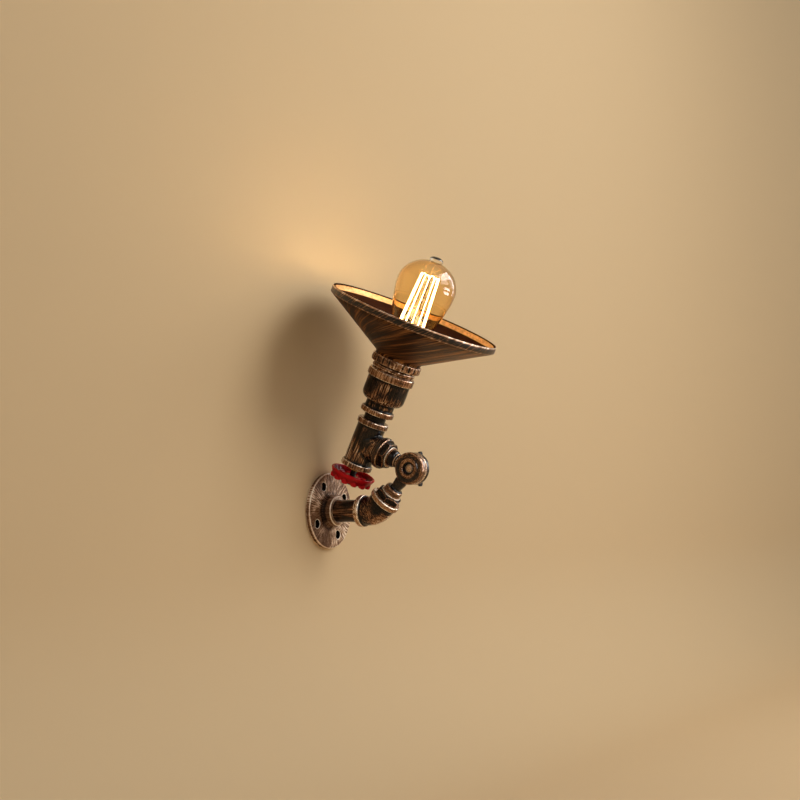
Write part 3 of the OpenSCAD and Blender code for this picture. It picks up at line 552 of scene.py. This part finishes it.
# Reducing socket. A bell-shaped cast socket that widens from the pipe to the lampholder, black with
# a few copper strokes, and with a bead of rubbed bronze at each end.
socket_grain = 0.00043
narrow_bead = 0.0064
wide_bead = 0.0084


def reach(node, centre, axis):
    """Where a solid starts and ends along an axis from a centre, and how far out it goes, in metres."""
    places = np.array([vertex.co for vertex in frame["nodes"][node].data.vertices]) - np.array(centre)
    along = places @ np.array(axis)
    out = np.linalg.norm(places - np.outer(along, axis), axis=1)
    return along.min(), along.max(), out.max()


def height_of(face):
    """How far a face lies from the tee's centre along the lamp's axis."""
    return (face.center - tee_centre).dot(lamp_axis)


def on_socket_bead(face):
    """Whether a face of the reducing socket is on one of its two beads."""
    return height_of(face) < socket_start + narrow_bead or height_of(face) > socket_end - wide_bead


socket_start, socket_end, _ = reach("reducing_socket", *lamp_place)
socket_strokes = drawn(across=850.0, along=80.0)
socket_finish = antique("socket_antique", socket_strokes, lamp_place, ground=0.16, streaks=0.72, beads=0.08)
bead_finish = antique("bead_antique", socket_strokes, lamp_place, ground=0.18, streaks=0.36)
socket = casting("reducing_socket", socket_grain, cast_softening, "antique_iron", socket_finish, bead_finish)
give_second_finish(socket, on_socket_bead)


# Lampholder. A porcelain body with a brass screw shell and contact, and three leads that join it, the
# switch and the tee's branch. A collar in rubbed bronze seats it on the reducing socket, and a knurled
# ring of the same finish above that carries the shade.
porcelain_warm = (0.72, 0.68, 0.6)
porcelain_white = (0.8, 0.78, 0.72)


def porcelain(name):
    """White glazed porcelain with a faint warm cloud."""
    finish, tree, shader = new_finish(name)
    cloud = mottle(tree, on_piece(tree), 140.0)
    set_inputs(tree, shader, {
        "Base Color": tint(tree, cloud, (0.3, porcelain_warm), (0.7, porcelain_white)),
        "Roughness": ease(tree, cloud, 0.3, 0.7, start=0.16, end=0.26)})
    return finish


collar_strokes = drawn(across=260.0, along=240.0)
collar_finish = antique("collar_antique", collar_strokes, lamp_place, ground=0.22, streaks=0.5, beads=0.15,
                        edges=0.3)
machined("lampholder_body", "porcelain", porcelain("lampholder_porcelain"))
machined("screw_shell", "brass", brass_finish)
machined("centre_contact", "brass", brass_finish)
machined("lamp_leads", "black_insulation", insulation_finish)
casting("holder_collar", bush_grain, crisp_softening, "bronzed_steel", collar_finish)
casting("clamp_ring", bush_grain, turned_softening, "bronzed_steel", collar_finish)


# Shade. A shallow spun cone with a hemmed band round its rim, bronzed and wiped while wet, so that
# the streaks leave the neck and sweep round to the rim; one side is painted lighter and the other
# darker, as painted light and shade. The lining is copper, with painted light on the band and painted
# shade on its lip and down the cone, and a ring inside clamps the shade on the lampholder.
_, shade_end, shade_radius = reach("shade", *lamp_place)
band_height = 0.0068
band_foot = shade_end - band_height
rim_rub_and_highlight_start = 0.0021
rim_rub_and_highlight_full = 0.0008
foot_rub_start = 0.0017
foot_rub_full = 0.0005
lit_band_start = 0.0004
lit_band_full = 0.0012
lip_shade_depth = 0.0008
lip_lit_depth = 0.0016
inward_lean = -0.15
lip_lean = 0.1
lip_rise = 0.6
sweep = 0.7
sweep_change = 0.55
sweep_side = math.radians(-150)
painted_side_light = 0.09
band_stroke_slant = -12.0
shade_dark = (0.006, 0.0022, 0.0009)
shade_brown = (0.052, 0.0175, 0.005)
shade_tan = (0.40, 0.175, 0.058)
lining_lit_copper = (0.8, 0.44, 0.18)
lining_painted_shade = (0.034, 0.013, 0.007)


def wiped_bronze(name):
    """Wiped brown bronze streaks from the neck round to the rim, painted lighter on one side, darker on the
    other.
    """
    finish, tree, shader = new_finish(name)
    _, out, angle = polar(tree, set_on(tree, *lamp_place))
    depth = reckon(tree, "LOGARITHM", reckon(tree, "DIVIDE", out, shade_radius), math.e)
    turned = reckon(tree, "SINE", weigh(tree, angle, 1.0, -sweep_side))
    pull = weigh(tree, turned, sweep_change, -sweep)
    swept = weigh(tree, pull, depth, angle)
    fine_place = wound(tree, swept, out, scale_round=52.0, scale_out=26.0)
    fine = ease(tree, mottle(tree, fine_place, detail=4.0, roughness=0.7), 0.38, 0.62)
    broad_place = wound(tree, swept, out, scale_round=10.0, scale_out=16.0)
    broad = ease(tree, mottle(tree, broad_place), 0.36, 0.64)
    level = weigh(tree, fine, 0.5, weigh(tree, broad, 0.45, 0.02))
    # Painted light and shade: one side of the shade is made lighter, the other side darker.
    level = weigh(tree, turned, painted_side_light, level)
    set_inputs(tree, shader, {
        "Base Color": tint(tree, level, (0.12, shade_dark), (0.5, shade_brown), (0.95, shade_tan)),
        "Roughness": ease(tree, fine, 0.0, 1.0, start=0.34, end=0.44),
        "Metallic": 0.35,
        "Specular IOR Level": 0.1,
        "Normal": relief(tree, fine, strength=0.2, distance=0.0002)})
    return finish


def brushed_band(name):
    """The rim's band: dark, short pale slanted strokes, rubbed edges and a painted highlight along its top.
    """
    finish, tree, shader = new_finish(name)
    along, _, angle = polar(tree, set_on(tree, *lamp_place))
    slant = weigh(tree, along, band_stroke_slant, angle)
    stroke_place = wound(tree, slant, along, scale_round=52.0, scale_out=110.0)
    stroke = ease(tree, mottle(tree, stroke_place, roughness=0.66), 0.42, 0.66)
    smear = mottle(tree, wound(tree, angle, along, scale_round=12.0, scale_out=100.0))
    # The top edge is rubbed pale, and painted pale as a highlight as well.
    rim_rub_and_highlight = ease(tree, along, shade_end - rim_rub_and_highlight_start, shade_end - rim_rub_and_highlight_full)
    rubbed_foot = ease(tree, along, band_foot + foot_rub_start, band_foot + foot_rub_full)
    level = weigh(tree, stroke, 0.45, weigh(tree, smear, 0.4, -0.06))
    level = weigh(tree, rubbed_foot, 0.32, level)
    level = weigh(tree, rim_rub_and_highlight, 0.48, level)
    set_inputs(tree, shader, {
        "Base Color": tint(tree, level, (0.24, paint_black), (0.4, paint_umber), (0.56, rubbed_copper),
                           (0.8, rubbed_tan), (1.0, bare_edge_and_glint)),
        "Metallic": ease(tree, level, 0.4, 0.8, end=0.7),
        "Roughness": ease(tree, stroke, 0.0, 1.0, start=0.3, end=0.42)})
    return finish


def lining_with_painted_light(name):
    """Copper lining of the shade: painted light on the band, painted shade on its lip and down the cone."""
    finish, tree, shader = new_finish(name)
    along, _, angle = polar(tree, set_on(tree, *lamp_place))
    stroke_place = wound(tree, angle, along, scale_round=20.0, scale_out=420.0)
    stroke = ease(tree, mottle(tree, stroke_place), 0.34, 0.66)
    lit_above_cone = ease(tree, along, band_foot + lit_band_start, band_foot + lit_band_full)
    lit_below_lip = ease(tree, along, shade_end - lip_shade_depth, shade_end - lip_lit_depth)
    # Painted light and shade: bright where the bulb lights the band, dark on the lip and down the cone.
    bright = reckon(tree, "MULTIPLY", lit_above_cone, lit_below_lip)
    level = reckon(tree, "MULTIPLY", bright, weigh(tree, stroke, 0.4, 0.6))
    set_inputs(tree, shader, {
        "Base Color": tint(tree, level, (0.0, lining_painted_shade), (1.0, lining_lit_copper)),
        "Roughness": ease(tree, stroke, 0.0, 1.0, start=0.36, end=0.5),
        "Metallic": ease(tree, bright, 0.0, 1.0, end=0.6),
        "Specular IOR Level": 0.0})
    return finish


shade = machined("shade", "shade_bronze", wiped_bronze("shade_bronze"), brushed_band("shade_band"),
                 lining_with_painted_light("shade_lining_painted_light"))
for face in shade.data.polygons:
    outward = (face.center - tee_centre - height_of(face) * lamp_axis).normalized()
    leaning = face.normal.dot(outward)
    on_lip = leaning < lip_lean and face.normal.dot(lamp_axis) > lip_rise
    is_lined = leaning < inward_lean or on_lip
    is_band = height_of(face) > band_foot
    face.material_index = 2 if is_lined else 1 if is_band else 0
casting("inner_ring", bush_grain, crisp_softening, "bronzed_steel", collar_finish)


# Bulb. A long cone of amber glass with a sealed pip, on a brass screw cap. Inside, a glass stem
# carries the hooks of an upright cage of glowing filament, and two lead wires feed it.
pip_height = 0.0046
pip_roughness = 0.16
glass_refraction = 1.47
glass_amber = (1.0, 0.84, 0.56)
glass_edge = (0.74, 0.46, 0.16)
pip_clear = (1.0, 0.94, 0.8)
stem_clear = (1.0, 0.95, 0.86)
stem_edge = (0.9, 0.8, 0.65)
wire_brown = (0.2, 0.12, 0.05, 1.0)
glow_colour = (1.0, 0.88, 0.64)
cooler_glow = (1.0, 0.66, 0.26)
glow_strength = 34.0
glow_lamp_colour = (1.0, 0.72, 0.38)
glow_lamp_power = 0.14
glow_lamp_size = 0.012
glow_lamp_depth = 0.004


def blown_glass(name, colour, edge, roughness=0.0):
    """Thin blown glass, deeper in colour at its edges, with slow ripples from the mould."""
    finish, tree, shader = new_finish(name)
    ripple = mottle(tree, on_piece(tree), 60.0, detail=2.0)
    slope = add(tree, "LayerWeight", {"Blend": 0.5}).outputs["Facing"]
    set_inputs(tree, shader, {
        "Base Color": tint(tree, slope, (0.35, colour), (0.95, edge)),
        "Transmission Weight": 1.0,
        "IOR": glass_refraction,
        "Roughness": roughness,
        "Normal": relief(tree, ripple, strength=0.05, distance=0.0008)})
    return finish


def glowing_wire(name):
    """Filament wire at working heat, a little cooler in places."""
    finish, tree, shader = new_finish(name)
    cloud = mottle(tree, on_piece(tree), 120.0, detail=2.0)
    set_inputs(tree, shader, {
        "Base Color": wire_brown,
        "Emission Color": tint(tree, cloud, (0.3, cooler_glow), (0.6, glow_colour)),
        "Emission Strength": glow_strength})
    return finish


def on_pip(face):
    """Whether a face of the glass is on its pip."""
    return height_of(face) > glass_tip - pip_height


machined("bulb_cap", "brass", brass_finish)
machined("cap_insulator", "black_insulation", insulation_finish)
machined("cap_contact", "steel", steel_finish)
_, glass_tip, _ = reach("bulb_glass", *lamp_place)
glass = machined("bulb_glass", "amber_glass", blown_glass("amber_glass", glass_amber, glass_edge),
                 blown_glass("pip_glass", pip_clear, pip_clear, pip_roughness))
give_second_finish(glass, on_pip)
stem = machined("glass_stem", "clear_glass", blown_glass("stem_glass", stem_clear, stem_edge))
for clear in (glass, stem):
    clear.visible_shadow = False
machined("lead_wires", "steel", steel_finish)
machined("cage_hooks", "steel", steel_finish)
machined("filament", "filament_wire", glowing_wire("filament_glow"))

glow = bpy.data.lights.new("bulb_glow", "POINT")
glow.energy = glow_lamp_power
glow.color = glow_lamp_colour
glow.shadow_soft_size = glow_lamp_size
glow_lamp = new_object("bulb_glow", glow)
glow_lamp.location = tee_centre + lamp_axis * (shade_end - glow_lamp_depth)
glow_lamp.visible_camera = False
glow_lamp.visible_glossy = False
glow_lamp.visible_transmission = False
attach(glow_lamp, "lamp_head")


# Studio. A pale card stands where the wall would be and curves into a pale floor. It shows from the
# front only, so that the lamp can be looked at from behind as well.
card_colour = (0.70, 0.53, 0.32, 1.0)
card_width = 6.0
card_height = 3.0
floor_drop = 0.25
floor_depth = 4.0
cove_radius = 0.2
cove_steps = 12


def one_sided(name, colour):
    """Matt card that is clear when seen from behind."""
    finish, tree, shader = new_finish(name)
    set_inputs(tree, shader, {"Base Color": colour, "Roughness": 0.9, "Specular IOR Level": 0.1})
    behind = add(tree, "NewGeometry").outputs["Backfacing"]
    clear = add(tree, "BsdfTransparent").outputs[0]
    both = add(tree, "MixShader", {0: behind, 1: shader.outputs[0], 2: clear})
    set_inputs(tree, tree.nodes["Material Output"], {"Surface": both.outputs[0]})
    return finish


edge_points = [(0.0, card_height - floor_drop)]
for step in range(cove_steps + 1):
    turn = math.pi / 2 * step / cove_steps
    edge_points.append((-cove_radius * (1 - math.cos(turn)),
                        cove_radius * (1 - math.sin(turn)) - floor_drop))
edge_points.append((-floor_depth, -floor_drop))
sheet = bmesh.new()
outline = [sheet.verts.new((-card_width / 2, y, z)) for y, z in edge_points]
for one, other in zip(outline, outline[1:]):
    sheet.edges.new((one, other))
pulled = bmesh.ops.extrude_edge_only(sheet, edges=sheet.edges[:])
bmesh.ops.translate(sheet, vec=(card_width, 0, 0),
                    verts=[part for part in pulled["geom"] if isinstance(part, bmesh.types.BMVert)])
bmesh.ops.recalc_face_normals(sheet, faces=sheet.faces[:])
if sum(face.normal.y * face.calc_area() for face in sheet.faces) > 0:
    bmesh.ops.reverse_faces(sheet, faces=sheet.faces[:])
card_mesh = bpy.data.meshes.new("studio_card")
sheet.to_mesh(card_mesh)
sheet.free()
card_mesh.shade_smooth()
card_mesh.materials.append(one_sided("studio_card", card_colour))
card = new_object("studio_card", card_mesh)

air_colour = (0.95, 0.93, 0.9, 1.0)
air_light = 0.25
air_seen = 0.7
world = bpy.data.worlds.new("studio_air")
bpy.context.scene.world = world
world.use_nodes = True
air = world.node_tree
ray = add(air, "LightPath")
shown = reckon(air, "MAXIMUM", ray.outputs["Is Camera Ray"], ray.outputs["Is Transmission Ray"])
brightness = ease(air, shown, 0.0, 1.0, start=air_light, end=air_seen)
set_inputs(air, air.nodes["Background"], {"Color": air_colour, "Strength": brightness})

lamp_middle = Vector((0, -0.09, 0.1))
warm_white = (1.0, 0.96, 0.9)
soft_white = (1.0, 0.97, 0.93)
cream_white = (1.0, 0.98, 0.97)
strip_white = (1.0, 0.98, 0.96)
sky_white = (0.96, 0.95, 1.0)
cool_white = (0.95, 0.97, 1.0)


def softbox(name, place, width, height, power, colour):
    """A soft rectangular lamp that faces the middle of the object."""
    light = bpy.data.lights.new(name, "AREA")
    light.shape = "RECTANGLE"
    light.size = width
    light.size_y = height
    light.energy = power
    light.color = colour
    box = new_object(name, light)
    box.location = place
    box.rotation_euler = (lamp_middle - Vector(place)).to_track_quat("-Z", "Y").to_euler()
    box.visible_transmission = False
    return box


def window_pane(name, place, width, height, power, colour):
    """A softbox that adds to the gloss alone."""
    pane = softbox(name, place, width, height, power, colour)
    pane.visible_diffuse = False


softbox("key_light", (0.42, -1.3, 0.92), width=0.9, height=0.9, power=12.2, colour=warm_white)
softbox("side_light", (-1.3, -0.25, 0.7), width=0.4, height=0.9, power=1.0, colour=soft_white)
softbox("far_light", (2.2, -1.5, 1.0), width=1.2, height=1.2, power=9.0, colour=soft_white)
window_pane("window_top", (0.62, -0.86, 0.9), width=1.1, height=0.34, power=9.0, colour=cream_white)
window_pane("window_middle", (0.45, -1.0, 0.16), width=0.5, height=0.15, power=3.2, colour=sky_white)
window_pane("window_sill", (0.45, -1.0, -0.1), width=0.5, height=0.15, power=3.2, colour=sky_white)
window_pane("window_side", (1.05, -0.6, 0.4), width=0.18, height=0.9, power=2.4, colour=cool_white)
window_pane("front_strip", (-0.45, -1.3, 0.5), width=0.14, height=1.1, power=8.0, colour=strip_white)

view_azimuth = math.radians(-58.91)
view_pitch = math.radians(-4.18)
view_distance = 1.37708
view_target = Vector((0.03655, -0.06061, 0.10764))
view_back = Vector((math.sin(view_azimuth) * math.cos(view_pitch),
                    -math.cos(view_azimuth) * math.cos(view_pitch), math.sin(view_pitch)))
film_width = 36.0
lens_length = 63.62
camera_data = bpy.data.cameras.new("camera")
camera_data.sensor_width = film_width
camera_data.lens = lens_length
camera = new_object("camera", camera_data)
camera.location = view_target + view_back * view_distance
camera.rotation_euler = (-view_back).to_track_quat("-Z", "Y").to_euler()
bpy.context.scene.camera = camera
bpy.context.scene.view_settings.view_transform = "Standard"
